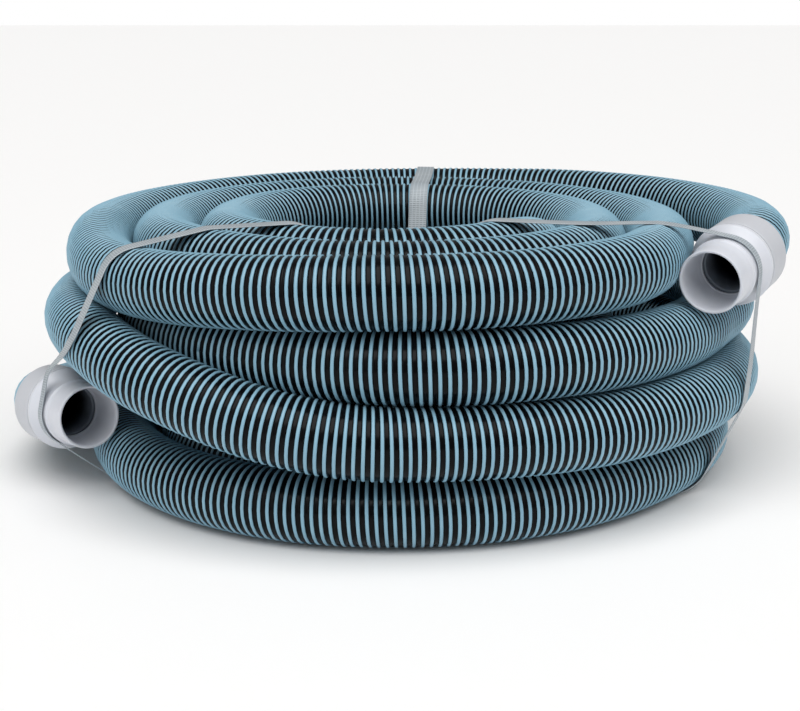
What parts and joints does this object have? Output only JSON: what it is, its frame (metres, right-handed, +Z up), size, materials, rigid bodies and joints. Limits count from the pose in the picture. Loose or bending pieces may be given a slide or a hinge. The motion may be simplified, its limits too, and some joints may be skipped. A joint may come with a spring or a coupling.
{
  "type": "swimming pool vacuum hose",
  "caption": "Spiral-ribbed pool vacuum hose wound into a compact strapped coil, with a smooth push-on swivel cuff on each end.",
  "frame": {"origin": "on the floor, under the centre of the whole part's bounding box", "axes": "+Z up along the coil's own axis, +X to the right and +Y to the back, with both cuffs' mouths turned to the front"},
  "size_m": [0.5661, 0.5254, 0.1921],
  "materials": {
    "hose": "light blue rounded spiral rib bonded on a glossy black wall",
    "cuff_white": "smooth satin white moulding with a slight blue cast",
    "collar_white": "slightly greyer white moulding, finely matt",
    "sleeve_grey": "plain grey moulding",
    "washer_white": "smooth slippery white plastic",
    "seal_rubber": "matt black rubber",
    "strap": "translucent grey-white strapping, embossed with a fine cross grid",
    "crimp_seal": "zinc-plated steel, crimped"
  },
  "bodies": {
    "coil": {"hose_coil": "hose", "hose_lead_right": "hose", "hose_lead_left": "hose", "strap_back": "strap", "strap_right": "strap", "strap_left": "strap", "strap_back_seal": "crimp_seal", "strap_right_seal": "crimp_seal", "strap_left_seal": "crimp_seal", "right_swivel_sleeve": "sleeve_grey", "right_thrust_washer": "washer_white", "right_hose_collar": "collar_white", "left_swivel_sleeve": "sleeve_grey", "left_thrust_washer": "washer_white", "left_hose_collar": "collar_white"},
    "right_cuff": {"right_cuff_body": "cuff_white", "right_seal_ring": "seal_rubber"},
    "left_cuff": {"left_cuff_body": "cuff_white", "left_seal_ring": "seal_rubber"}
  },
  "joints": [
    {"name": "right_cuff_swivel", "type": "hinge", "parent": "coil", "child": "right_cuff", "pos_m": [0.2042, -0.1335, 0.1536], "axis": [-0.552, -0.821, -0.146], "continuous": true},
    {"name": "left_cuff_swivel", "type": "hinge", "parent": "coil", "child": "left_cuff", "pos_m": [-0.2046, -0.1188, 0.0583], "axis": [0.5842, -0.8073, 0.084], "continuous": true}
  ]
}
